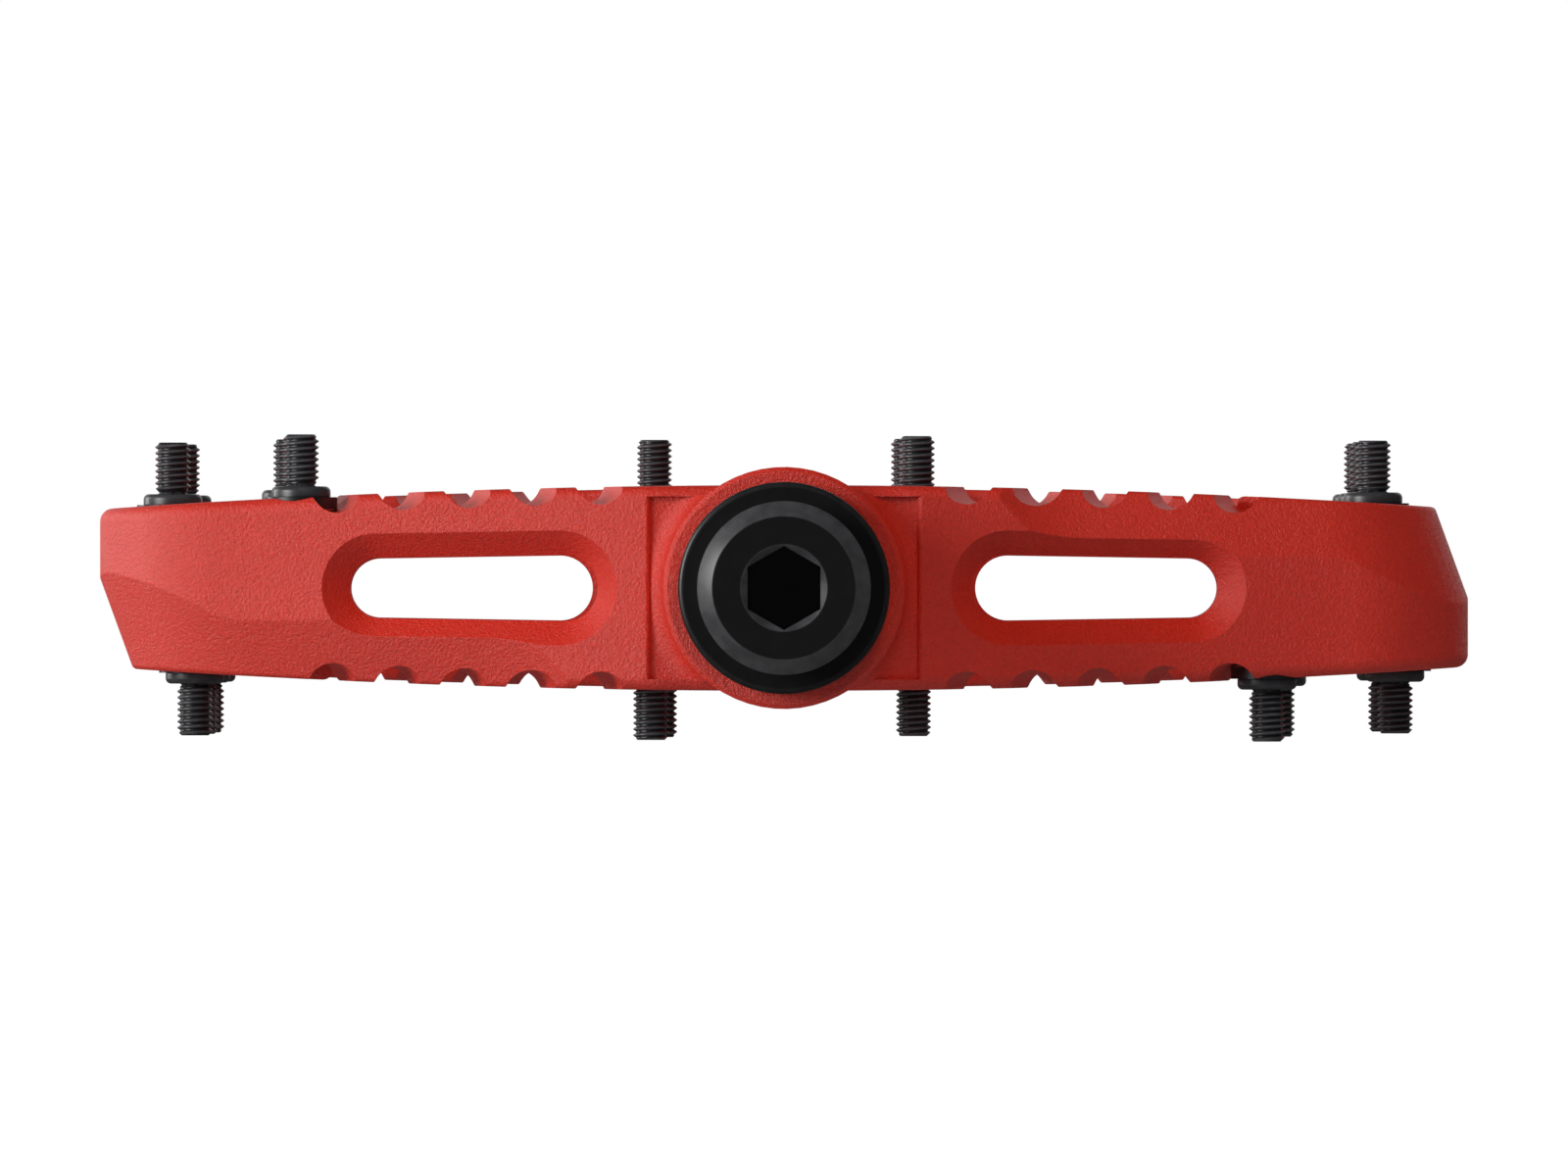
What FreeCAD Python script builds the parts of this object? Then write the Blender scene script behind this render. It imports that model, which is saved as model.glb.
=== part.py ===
"""Flat bicycle pedal: machined platform, traction pins, spindle and bearings.

Frame (millimetres): the origin is on the spindle axis at the shoulder that seats on the crank.
+Y runs outboard along the spindle, +Z is up and -X is the leading edge.
The platform looks the same after half a turn about the spindle axis.
"""
import FreeCAD, Part
import os
from math import cos, pi, radians, sin, sqrt, tan

V = FreeCAD.Vector
X_AXIS = V(1, 0, 0)
Y_AXIS = V(0, 1, 0)
Z_AXIS = V(0, 0, 1)
ORIGIN = V(0, 0, 0)

# ---------------------------------------------------------------- platform
HALF_LENGTH = 56.8            # leading edge to spindle axis
INBOARD_Y = 5.5               # flat middle of the inboard wall
OUTBOARD_Y = 108.5            # flat middle of the outboard wall
MID_Y = (INBOARD_Y + OUTBOARD_Y) / 2
CLEAR_Z = 15.0                # beyond every surface of the platform
CLEAR_XY = 90.0
CROWN_HALF = 8.5              # half thickness over the spindle
CROWN_RADIUS = 820.0          # both faces are crowned to this radius
FLAT_HALF = 11.0              # half width of the flat middle of each wall
WALL_TILT = radians(11.0)     # each wall falls back from its middle
WALL_THICKNESS = 6.0
CORNER_RADIUS = 11.5
BREAK_RADIUS = 6.0            # where a wall turns from its flat middle into its tilt
EDGE_RADIUS = 1.1             # rounding of the outer top and bottom edges
WINDOW_EDGE_RADIUS = 0.5

# drafted facet under the leading edge, repeated above the trailing edge
FACET_DRAFT = tan(radians(20.0))
FACET_WALL_Z = -2.65          # where the facet starts on the walls
FACET_END_Z = 0.8             # where it starts on the leading edge
FACET_CORNER = 13.0
FACET_LOW_Z = -9.0            # the facet cut spans these heights
FACET_HIGH_Z = 1.5
RUNOUT_START = 25.6           # along the wall from the middle
RUNOUT_RADIUS = 15.0
RUNOUT_SWEEP = radians(60.0)

# windows between the spine, the rails and the walls
WAIST_HALF = 10.4             # half width of the spine between its pins
RAIL_INNER = 47.2
WINDOW_CORNER = 6.0
PAD_RADIUS = 4.7              # round pads that carry the flanged pins
SPINE_PAD_RADIUS = 3.6        # round pads that carry the axle pins
PAD_BLEND = 1.2

# obround slots through the walls, each with a 45 degree funnel
SLOT_INNER = 15.4
SLOT_OUTER = 35.9
SLOT_INNER_R = 2.75
SLOT_OUTER_R = 2.5
SLOT_SHIFT = 0.85             # the outboard wall's slots sit this much further out
FUNNEL = 2.0

# grip notches milled across the top and bottom of each wall
INBOARD_NOTCHES = (15.1, 5.46)   # first notch and pitch along the inboard wall
OUTBOARD_NOTCHES = (20.1, 4.73)  # the same for the outboard wall
NOTCH_COUNT = 5
NOTCH_R = 1.8
NOTCH_DEPTH = 1.45
NOTCH_SLANT = radians(14.0)
NOTCH_RUN = 9.0               # length of each groove, from just outside the wall

# boss and its pocket in the inboard wall
BOSS_R = 10.0
BOSS_FACE_Y = 3.5
BOSS_EDGE = 0.35
BOSS_END_Y = 14.0
BOSS_FADE_Y = 30.0
BOSS_FADE_R = 8.3
POCKET_HALF_X = 11.03
POCKET_HALF_Z = 7.55
POCKET_FLOOR_Y = 6.0
POCKET_ROUND = 0.4
FLARE_R = 1.8                 # concave blend from the boss to the pocket floor

# ---------------------------------------------------------------- traction pins
PIN_R = 1.475
PIN_HOLE_R = 1.5
FLANGED_PINS = ((-50.9, 34.0), (-50.8, 80.0), (-40.0, 14.6), (-41.9, 99.6),
                (48.9, 23.5), (48.9, 57.0), (48.9, 90.5))
AXLE_PINS = ((-11.0, 99.0), (11.0, 12.6), (10.5, 77.0))
COLLAR_R = 2.45
COLLAR_HEIGHT = 0.9
COLLAR_EDGE = 0.45
STUD_ABOVE = 4.3
STUD_BELOW = 5.5
STUD_HOLE_DEPTH = 7.0
WASHER_R = 3.0
WASHER_THICKNESS = 1.0
COUNTERBORE_R = 3.05
AXLE_PIN_ABOVE = 4.15
AXLE_PIN_LENGTH = 14.0
PIN_TIP = 0.35
PIN_SOCKET_AF = 1.5
PIN_SOCKET_DEPTH = 1.6

# ---------------------------------------------------------------- spindle
THREAD_R = 7.14               # 9/16 inch x 20 TPI
THREAD_END_Y = -13.0
THREAD_TIP_R = 6.0
THREAD_CHAMFER = 1.1
FLANGE_R = 8.75
FLANGE_THICKNESS = 3.2
FLANGE_EDGE = 0.4
JOURNAL_R = 6.0
JOURNAL_END_Y = 35.0
TAPER_END_Y = 62.0
SHOULDER_R = 5.0
SEAT_R = 4.0
NUT_THREAD_R = 3.5
SPINDLE_END_Y = 96.0
HEX_AF = 6.0
HEX_DEPTH = 7.0
HEX_MOUTH_R = 3.55

# ---------------------------------------------------------------- bearings and seals
SEAL_R = 8.2
SEAL_Y = (3.8, 6.4)
SEAL_CLEARANCE = 0.04
BUSHING_R = 7.0
BUSHING_Y = (8.0, 33.0)
BUSHING_CLEARANCE = 0.03
BEARING_R = 6.0
BEARING_WIDTH = 3.5
BEARING_STARTS = (72.0, 81.5, 85.0)
BALL_R = 0.6
BALL_PITCH_R = 5.0
BALL_COUNT = 14
GROOVE_R = 0.615
INNER_LAND_R = 4.6
OUTER_LAND_R = 5.4
CAGE_R = (4.78, 5.22)
CAGE_WIDTH = 1.7
CAGE_POCKET_R = 0.63
SHIELD_THICKNESS = 0.25
SHIELD_INSET = 0.1
SPACER_R = 4.8
RING_GROOVE_R = 6.6
RING_INNER_R = 5.3
RING_THICKNESS = 1.0
RING_GAP = 2.4
NUT_WASHER_R = 4.9
NUT_WASHER_THICKNESS = 1.0
NUT_AF = 8.0
NUT_THICKNESS = 4.5
BORE_MIDDLE_R = 6.4
BORE_LIP_R = 5.5
BORE_LIP_WIDTH = 2.0
CAP_BORE_R = 7.25
CAP_BORE_Y = 90.5
CAP_SEAT_R = 8.3
CAP_SEAT_DEPTH = 1.8
CAP_FLANGE_R = 8.2
CAP_PLUG_R = 7.2
CAP_PLUG_START_Y = 100.0
CAP_DISH_R = 5.6
CAP_DISH_DEPTH = 0.6
CAP_HOLE_R = 0.9
CAP_HOLE_PITCH_R = 3.6
CAP_HOLE_DEPTH = 2.0
O_RING_R = 0.5
O_RING_Y = 104.0
O_RING_GROOVE_R = 6.2
O_RING_GROOVE_WIDTH = 1.3


# ---------------------------------------------------------------- helpers
def crown_z(x):
    """Height of the crowned top face above the spindle axis at a distance x from it."""
    return CROWN_HALF - CROWN_RADIUS + sqrt(CROWN_RADIUS ** 2 - x ** 2)


def wall_y(x):
    """Y of the tilted inboard wall surface at x."""
    return INBOARD_Y + (abs(x) - FLAT_HALF) * tan(WALL_TILT)


def flip_y(points):
    """The points reflected in the plane midway between the two walls, in reverse order."""
    return [V(p.x, 2 * MID_Y - p.y, p.z) for p in reversed(points)]


def half_turn(shape):
    """A copy turned half round about the spindle axis."""
    copy = shape.copy()
    copy.rotate(ORIGIN, Y_AXIS, 180)
    return copy


def mirror_x(shape):
    """A copy mirrored from the leading half to the trailing half."""
    return shape.mirror(ORIGIN, X_AXIS)


def mirror_y(shape):
    """A copy mirrored from the inboard wall to the outboard wall."""
    return shape.mirror(V(0, MID_Y, 0), Y_AXIS)


def both_halves(shape):
    """The shape with its mirror image on the other half of the platform."""
    return [shape, mirror_x(shape)]


def corner_arc(corner, behind, ahead, radius):
    """Start, middle and end of the arc that rounds a corner between two neighbouring points."""
    back = (behind - corner).normalize()
    forward = (ahead - corner).normalize()
    half_angle = back.getAngle(forward) / 2
    inward = (back + forward).normalize()
    centre = corner + inward * (radius / sin(half_angle))
    reach = radius / tan(half_angle)
    return corner + back * reach, centre - inward * radius, corner + forward * reach


def rounded_wire(corners, radii):
    """Closed wire through corner points, with an arc of the given radius at each one."""
    count = len(corners)
    turns = []
    for i in range(count):
        if radii[i] == 0:
            turns.append((corners[i], None, corners[i]))
        else:
            turns.append(corner_arc(corners[i], corners[i - 1], corners[(i + 1) % count], radii[i]))
    edges = []
    for i in range(count):
        start, middle, end = turns[i]
        if middle is not None:
            edges.append(Part.Arc(start, middle, end).toShape())
        edges.append(Part.LineSegment(end, turns[(i + 1) % count][0]).toShape())
    return Part.Wire(edges)


def prism(wire, low_z, high_z):
    """Solid between two heights over a closed wire drawn at z = 0."""
    face = Part.Face(wire)
    face.translate(V(0, 0, low_z))
    return face.extrude(V(0, 0, high_z - low_z))


def revolved(profile):
    """Solid of revolution about the spindle axis from (radius, y) points."""
    points = [V(radius, y, 0) for radius, y in profile]
    wire = Part.makePolygon(points + [points[0]])
    return Part.Face(wire).revolve(ORIGIN, Y_AXIS, 360)


def ring(outer_r, inner_r, start_y, end_y):
    """Plain ring round the spindle axis."""
    return revolved([(inner_r, start_y), (outer_r, start_y), (outer_r, end_y), (inner_r, end_y)])


def hex_prism(across_flats, start, direction, length):
    """Hexagonal prism with a corner towards +Z when it lies along Y."""
    corner_r = across_flats / sqrt(3)
    sideways = Z_AXIS if abs(direction.z) < 0.5 else Y_AXIS
    points = []
    for i in range(7):
        turn = FreeCAD.Rotation(direction, 60 * i)
        points.append(start + turn.multVec(sideways * corner_r))
    return Part.Face(Part.makePolygon(points)).extrude(direction * length)


def upright(radius, x, y, low_z, high_z):
    """Vertical cylinder between two heights."""
    return Part.makeCylinder(radius, high_z - low_z, V(x, y, low_z))


# ---------------------------------------------------------------- platform body
def wall_point(along, outward, z=0.0):
    """Point of the leading half's inboard wall: along it from the middle, and out of it."""
    start_y = INBOARD_Y - FLAT_HALF * tan(WALL_TILT)
    x = -(along * cos(WALL_TILT) + outward * sin(WALL_TILT))
    y = start_y + along * sin(WALL_TILT) - outward * cos(WALL_TILT)
    return V(x, y, z)


def platform_outline():
    """Plan of the platform: walls that fall back from the middle, and rounded corners."""
    near = [V(-HALF_LENGTH, wall_y(HALF_LENGTH), 0), V(-FLAT_HALF, INBOARD_Y, 0),
            V(FLAT_HALF, INBOARD_Y, 0), V(HALF_LENGTH, wall_y(HALF_LENGTH), 0)]
    radii = [CORNER_RADIUS, BREAK_RADIUS, BREAK_RADIUS, CORNER_RADIUS]
    return rounded_wire(near + flip_y(near), radii + radii)


def crowned_slab():
    """Solid between the two crowned faces, longer and wider than the platform."""
    reach = HALF_LENGTH + 1
    edge_z = crown_z(reach)
    top = Part.Arc(V(-reach, 0, edge_z), V(0, 0, CROWN_HALF), V(reach, 0, edge_z)).toShape()
    right = Part.LineSegment(V(reach, 0, edge_z), V(reach, 0, -edge_z)).toShape()
    bottom = Part.Arc(V(reach, 0, -edge_z), V(0, 0, -CROWN_HALF), V(-reach, 0, -edge_z)).toShape()
    left = Part.LineSegment(V(-reach, 0, -edge_z), V(-reach, 0, edge_z)).toShape()
    face = Part.Face(Part.Wire([top, right, bottom, left]))
    return face.extrude(V(0, OUTBOARD_Y + 1, 0))


def facet_section(z):
    """Plan of what the facet cut leaves at height z: drafted, with a conical run-out."""
    wall_inset = (FACET_WALL_Z - z) * FACET_DRAFT
    end_inset = (FACET_END_Z - z) * FACET_DRAFT
    corner_r = FACET_CORNER - wall_inset
    runout_r = RUNOUT_RADIUS + wall_inset
    end_x = -HALF_LENGTH + end_inset
    inset_wall = wall_point(0, -wall_inset)
    corner_y = inset_wall.y - (end_x - inset_wall.x) * tan(WALL_TILT)
    corner = V(end_x, corner_y, 0)

    def along_runout(angle):
        return wall_point(RUNOUT_START - runout_r * sin(angle), RUNOUT_RADIUS - runout_r * cos(angle))

    near = [along_runout(0), along_runout(RUNOUT_SWEEP / 2), along_runout(RUNOUT_SWEEP)]
    outside = V(near[2].x, -CLEAR_XY, 0)
    start, middle, end = corner_arc(corner, V(end_x, MID_Y, 0), near[0], corner_r)
    low_side = [Part.Arc(start, middle, end).toShape(), Part.LineSegment(end, near[0]).toShape(),
                Part.Arc(near[0], near[1], near[2]).toShape(),
                Part.LineSegment(near[2], outside).toShape()]
    near_side = Part.Wire(low_side)
    far_side = mirror_y(near_side)
    leading = Part.LineSegment(start, flip_y([start])[0]).toShape()
    corners = [outside, V(CLEAR_XY, -CLEAR_XY, 0), V(CLEAR_XY, 2 * MID_Y + CLEAR_XY, 0),
               flip_y([outside])[0]]
    closing = [Part.LineSegment(a, b).toShape() for a, b in zip(corners, corners[1:])]
    edges = Part.__sortEdges__(near_side.Edges + closing + far_side.Edges + [leading])
    wire = Part.Wire(edges)
    wire.translate(V(0, 0, z))
    return wire


def facet_cutter():
    """What is milled away under the leading edge and the leading halves of both walls."""
    kept = Part.makeLoft([facet_section(FACET_LOW_Z), facet_section(FACET_HIGH_Z)], True, True)
    margin = 15.0
    corner = V(-HALF_LENGTH - margin, -margin, FACET_LOW_Z)
    block = Part.makeBox(HALF_LENGTH, OUTBOARD_Y + 2 * margin, FACET_HIGH_Z - FACET_LOW_Z, corner)
    return block.cut(kept)


def window_cutter():
    """Leading window: straight sides, with pads left standing round the pins."""
    depth_y = WALL_THICKNESS / cos(WALL_TILT)
    near = [V(-RAIL_INNER, wall_y(RAIL_INNER) + depth_y, 0),
            V(-WAIST_HALF, wall_y(WAIST_HALF) + depth_y, 0)]
    outline = rounded_wire(near + flip_y(near), [WINDOW_CORNER] * 4)
    cutter = prism(outline, -CLEAR_Z, CLEAR_Z)
    pad_z = CLEAR_Z + 5
    pads = []
    for x, y in FLANGED_PINS:
        pads.append(upright(PAD_RADIUS, -abs(x), y, -pad_z, pad_z))
    for x, y in AXLE_PINS:
        pads.append(upright(SPINE_PAD_RADIUS, -abs(x), y, -pad_z, pad_z))
    cutter = cutter.cut(pads)
    inner_corners = [edge for edge in cutter.Edges if is_pad_corner(edge, cutter)]
    return cutter.makeFillet(PAD_BLEND, inner_corners)


def is_pad_corner(edge, solid):
    """True for an upright edge where a pad meets a straight side of the window."""
    low, high = edge.Vertexes[0].Point, edge.Vertexes[-1].Point
    if abs(low.x - high.x) > 1e-6 or abs(low.y - high.y) > 1e-6:
        return False
    faces = solid.ancestorsOfType(edge, Part.Face)
    middle = (low + high) * 0.5
    normals = []
    for face in faces:
        u, v = face.Surface.parameter(middle)
        normals.append(face.normalAt(u, v))
    return normals[0].getAngle(normals[1]) > radians(20)


def slot_section(offset, outward):
    """Obround on a plane parallel to the leading half's inboard wall, grown by an offset."""
    inner = (SLOT_INNER + FUNNEL * sin(WALL_TILT)) / cos(WALL_TILT) + SLOT_INNER_R
    outer = (SLOT_OUTER + FUNNEL * sin(WALL_TILT)) / cos(WALL_TILT) - SLOT_OUTER_R
    return obround(lambda along, z: wall_point(along, outward, z), inner, SLOT_INNER_R + offset,
                   outer, SLOT_OUTER_R + offset)


def obround(place, inner, inner_r, outer, outer_r):
    """Closed wire round two circles of different size, placed by a function of (along, z)."""
    lean = (inner_r - outer_r) / (outer - inner)
    rise = sqrt(1 - lean ** 2)
    inner_high = place(inner + inner_r * lean, inner_r * rise)
    inner_low = place(inner + inner_r * lean, -inner_r * rise)
    outer_high = place(outer + outer_r * lean, outer_r * rise)
    outer_low = place(outer + outer_r * lean, -outer_r * rise)
    edges = [Part.Arc(inner_low, place(inner - inner_r, 0), inner_high).toShape(),
             Part.LineSegment(inner_high, outer_high).toShape(),
             Part.Arc(outer_high, place(outer + outer_r, 0), outer_low).toShape(),
             Part.LineSegment(outer_low, inner_low).toShape()]
    return Part.Wire(edges)


def slot_cutters():
    """Through slots and their funnels for both halves of both walls."""
    def straight(shift):
        return obround(lambda x, z: V(-x, 0, z), SLOT_INNER + SLOT_INNER_R + shift, SLOT_INNER_R,
                       SLOT_OUTER - SLOT_OUTER_R + shift, SLOT_OUTER_R)

    inboard = Part.Face(straight(0)).extrude(V(0, MID_Y, 0))
    outboard = Part.Face(straight(SLOT_SHIFT)).extrude(V(0, OUTBOARD_Y, 0))
    outboard.translate(V(0, MID_Y, 0))
    overrun = 0.5
    mouth = slot_section(FUNNEL + overrun, overrun)
    throat = slot_section(-overrun, -FUNNEL - overrun)
    funnel = Part.makeLoft([mouth, throat], True, True)
    one_half = (inboard, outboard, funnel, mirror_y(funnel))
    return [cutter for shape in one_half for cutter in both_halves(shape)]


def notch_row(first, pitch):
    """Grooves across the top of the leading half's inboard wall."""
    slant = V(-sin(NOTCH_SLANT), cos(NOTCH_SLANT), 0)
    row = []
    for i in range(NOTCH_COUNT):
        x = first + i * pitch
        axis_z = crown_z(x) + NOTCH_R - NOTCH_DEPTH
        start = V(-x, wall_y(x), axis_z) - slant
        row.append(Part.makeCylinder(NOTCH_R, NOTCH_RUN, start, slant))
    return row


def notch_cutters():
    """Slanted round grooves across the top and bottom of every wall half."""
    cutters = []
    for groove in notch_row(*INBOARD_NOTCHES) + [mirror_y(groove) for groove in notch_row(*OUTBOARD_NOTCHES)]:
        cutters += both_halves(groove)
        cutters += both_halves(half_turn(groove))
    return cutters


def pocket_cutter():
    """Shallow pocket round the boss, with its two side walls rounded over."""
    rim_x = POCKET_HALF_X + POCKET_ROUND
    rim_y = wall_y(rim_x)
    centre_y = rim_y + POCKET_ROUND
    mid = POCKET_ROUND * sqrt(0.5)
    outside_y = INBOARD_Y - 3
    right = [V(POCKET_HALF_X, POCKET_FLOOR_Y, 0), V(POCKET_HALF_X, centre_y, 0),
             V(rim_x - mid, centre_y - mid, 0), V(rim_x, rim_y, 0), V(rim_x, outside_y, 0)]
    left = [V(-p.x, p.y, 0) for p in right]
    edges = [Part.LineSegment(left[0], right[0]).toShape(), Part.LineSegment(right[0], right[1]).toShape(),
             Part.Arc(right[1], right[2], right[3]).toShape(), Part.LineSegment(right[3], right[4]).toShape(),
             Part.LineSegment(right[4], left[4]).toShape(), Part.LineSegment(left[4], left[3]).toShape(),
             Part.Arc(left[3], left[2], left[1]).toShape(), Part.LineSegment(left[1], left[0]).toShape()]
    return prism(Part.Wire(edges), -POCKET_HALF_Z, POCKET_HALF_Z)


def boss():
    """Round boss that stands out of the inboard wall and fades into the spine."""
    profile = [(0, BOSS_FACE_Y), (BOSS_R - BOSS_EDGE, BOSS_FACE_Y), (BOSS_R, BOSS_FACE_Y + BOSS_EDGE),
               (BOSS_R, BOSS_END_Y), (BOSS_FADE_R, BOSS_FADE_Y), (0, BOSS_FADE_Y)]
    barrel = revolved(profile)
    floor_r = BOSS_R + FLARE_R
    foot = POCKET_FLOOR_Y + 1
    top_y = POCKET_FLOOR_Y - FLARE_R
    bend = FLARE_R * (1 - sqrt(0.5))
    edges = [Part.LineSegment(V(0, top_y, 0), V(BOSS_R, top_y, 0)).toShape(),
             Part.Arc(V(BOSS_R, top_y, 0), V(BOSS_R + bend, POCKET_FLOOR_Y - bend, 0),
                      V(floor_r, POCKET_FLOOR_Y, 0)).toShape(),
             Part.LineSegment(V(floor_r, POCKET_FLOOR_Y, 0), V(floor_r, foot, 0)).toShape(),
             Part.LineSegment(V(floor_r, foot, 0), V(0, foot, 0)).toShape(),
             Part.LineSegment(V(0, foot, 0), V(0, top_y, 0)).toShape()]
    flare = Part.Face(Part.Wire(edges)).revolve(ORIGIN, Y_AXIS, 360)
    band_z = POCKET_HALF_Z + 0.2
    band = Part.makeBox(2 * POCKET_HALF_X, POCKET_FLOOR_Y + 2, 2 * band_z, V(-POCKET_HALF_X, 0, -band_z))
    return barrel.fuse(flare.common(band))


def bore_cutter():
    """Stepped bore for the seal, bushing, bearings, retaining ring and end cap."""
    lip_y = BEARING_STARTS[0] - BORE_LIP_WIDTH
    seat_end = BEARING_STARTS[-1] + BEARING_WIDTH
    ring_end = seat_end + RING_THICKNESS
    cap_seat_y = OUTBOARD_Y - CAP_SEAT_DEPTH
    return revolved([
        (0, BOSS_FACE_Y - 1), (SEAL_R, BOSS_FACE_Y - 1), (SEAL_R, SEAL_Y[1]),
        (BUSHING_R, SEAL_Y[1]), (BUSHING_R, BUSHING_Y[1]),
        (BORE_MIDDLE_R, BUSHING_Y[1]), (BORE_MIDDLE_R, lip_y),
        (BORE_LIP_R, lip_y), (BORE_LIP_R, BEARING_STARTS[0]),
        (BEARING_R, BEARING_STARTS[0]), (BEARING_R, seat_end),
        (RING_GROOVE_R, seat_end), (RING_GROOVE_R, ring_end),
        (BEARING_R, ring_end), (BEARING_R, CAP_BORE_Y),
        (CAP_BORE_R, CAP_BORE_Y), (CAP_BORE_R, cap_seat_y),
        (CAP_SEAT_R, cap_seat_y), (CAP_SEAT_R, OUTBOARD_Y + 1), (0, OUTBOARD_Y + 1)])


def pin_hole_cutters():
    """Threaded holes and counterbores of the top face's pins."""
    cutters = []
    for x, y in FLANGED_PINS:
        face_z = crown_z(x)
        cutters.append(upright(PIN_HOLE_R, x, y, face_z - STUD_HOLE_DEPTH, face_z))
        cutters.append(upright(COUNTERBORE_R, x, y, face_z - WASHER_THICKNESS, face_z + 2))
    for x, y in AXLE_PINS:
        cutters.append(upright(PIN_HOLE_R, x, y, -CLEAR_Z, CLEAR_Z))
    return cutters


def on_crown(edge):
    """True for an edge that lies in one of the crowned faces."""
    for parameter in (edge.FirstParameter, (edge.FirstParameter + edge.LastParameter) / 2,
                      edge.LastParameter):
        point = edge.valueAt(parameter)
        if abs(abs(point.z) - crown_z(point.x)) > 1e-4:
            return False
    return True


def pedal_body():
    body = prism(platform_outline(), -CLEAR_Z, CLEAR_Z).common(crowned_slab())
    body = body.makeFillet(EDGE_RADIUS, [edge for edge in body.Edges if on_crown(edge)])
    facet = facet_cutter()
    body = body.cut([facet, half_turn(facet)])
    window = window_cutter()
    body = body.cut([window, half_turn(window)])
    window_edges = [edge for edge in body.Edges if on_crown(edge) and in_window(edge)]
    body = body.makeFillet(WINDOW_EDGE_RADIUS, window_edges)
    body = body.cut([pocket_cutter()])
    body = body.fuse(boss())
    body = body.cut(slot_cutters())
    body = body.cut(notch_cutters())
    holes = pin_hole_cutters()
    body = body.cut(holes + [half_turn(hole) for hole in holes])
    return body.cut(bore_cutter())


def in_window(edge):
    """True for an edge on the rim of a window, away from the platform's outer outline."""
    point = edge.valueAt((edge.FirstParameter + edge.LastParameter) / 2)
    inboard_limit = wall_y(point.x) + WALL_THICKNESS / 2
    return abs(point.x) < HALF_LENGTH - 4 and inboard_limit < point.y < 2 * MID_Y - inboard_limit


# ---------------------------------------------------------------- traction pins
def flanged_pin(x, y):
    """Threaded stud with a round collar that stands on its washer, and a socket in its tip."""
    face_z = crown_z(x)
    collar_z = face_z + COLLAR_HEIGHT
    collar = upright(COLLAR_R, x, y, face_z, collar_z)
    rim = [edge for edge in collar.Edges
           if edge.Length > COLLAR_R and abs(edge.CenterOfMass.z - collar_z) < 1e-3]
    collar = collar.makeFillet(COLLAR_EDGE, rim)
    top_z = collar_z + STUD_ABOVE
    pin = collar.fuse(tipped_stud(x, y, face_z - STUD_BELOW, top_z)).removeSplitter()
    return pin.cut(hex_prism(PIN_SOCKET_AF, V(x, y, top_z - PIN_SOCKET_DEPTH), Z_AXIS, PIN_SOCKET_DEPTH + 1))


def tipped_stud(x, y, low_z, high_z):
    """Stud with a small chamfer at both ends."""
    ends = [(0, low_z), (PIN_R - PIN_TIP, low_z), (PIN_R, low_z + PIN_TIP),
            (PIN_R, high_z - PIN_TIP), (PIN_R - PIN_TIP, high_z), (0, high_z)]
    points = [V(radius, 0, z) for radius, z in ends]
    stud = Part.Face(Part.makePolygon(points + [points[0]])).revolve(ORIGIN, Z_AXIS, 360)
    stud.translate(V(x, y, 0))
    return stud


def pin_washer(x, y):
    face_z = crown_z(x)
    outer = upright(WASHER_R, x, y, face_z - WASHER_THICKNESS, face_z)
    return outer.cut(upright(PIN_HOLE_R, x, y, face_z - 2 * WASHER_THICKNESS, face_z + 1))


def axle_pin(x, y):
    """Long set screw driven in from the other face, with its socket at the lower end."""
    high_z = crown_z(x) + AXLE_PIN_ABOVE
    low_z = high_z - AXLE_PIN_LENGTH
    screw = tipped_stud(x, y, low_z, high_z)
    return screw.cut(hex_prism(PIN_SOCKET_AF, V(x, y, low_z - 1), Z_AXIS, PIN_SOCKET_DEPTH + 1))


# ---------------------------------------------------------------- spindle and its hardware
def spindle():
    """Threaded end, flange, bushing journal, taper, bearing seat and nut thread."""
    nut_start = BEARING_STARTS[-1] + BEARING_WIDTH + NUT_WASHER_THICKNESS
    tip = 0.6
    body = revolved([
        (0, THREAD_END_Y), (THREAD_TIP_R, THREAD_END_Y), (THREAD_R, THREAD_END_Y + THREAD_CHAMFER),
        (THREAD_R, 0), (FLANGE_R - FLANGE_EDGE, 0), (FLANGE_R, FLANGE_EDGE),
        (FLANGE_R, FLANGE_THICKNESS), (JOURNAL_R, FLANGE_THICKNESS), (JOURNAL_R, JOURNAL_END_Y),
        (SHOULDER_R, TAPER_END_Y), (SHOULDER_R, BEARING_STARTS[0]), (SEAT_R, BEARING_STARTS[0]),
        (SEAT_R, nut_start - NUT_WASHER_THICKNESS), (NUT_THREAD_R, nut_start - NUT_WASHER_THICKNESS),
        (NUT_THREAD_R, SPINDLE_END_Y - tip), (NUT_THREAD_R - tip, SPINDLE_END_Y), (0, SPINDLE_END_Y)])
    socket = hex_prism(HEX_AF, V(0, THREAD_END_Y - 1, 0), Y_AXIS, HEX_DEPTH + 1)
    mouth_depth = HEX_MOUTH_R - HEX_AF / 2
    mouth = Part.makeCone(HEX_MOUTH_R, HEX_AF / 2, mouth_depth, V(0, THREAD_END_Y, 0), Y_AXIS)
    return body.cut([socket, mouth])


def inboard_seal():
    """Rubber ring with a shallow groove in the face behind the flange."""
    inner_r = JOURNAL_R + SEAL_CLEARANCE
    start, end = SEAL_Y
    lip = 0.6
    return revolved([(inner_r, start), (inner_r + lip, start), (inner_r + 2 * lip, start + lip),
                     (SEAL_R - lip, start + lip), (SEAL_R - lip / 2, start), (SEAL_R, start),
                     (SEAL_R, end), (inner_r, end)])


def plain_bushing():
    return ring(BUSHING_R, JOURNAL_R + BUSHING_CLEARANCE, *BUSHING_Y)


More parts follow.
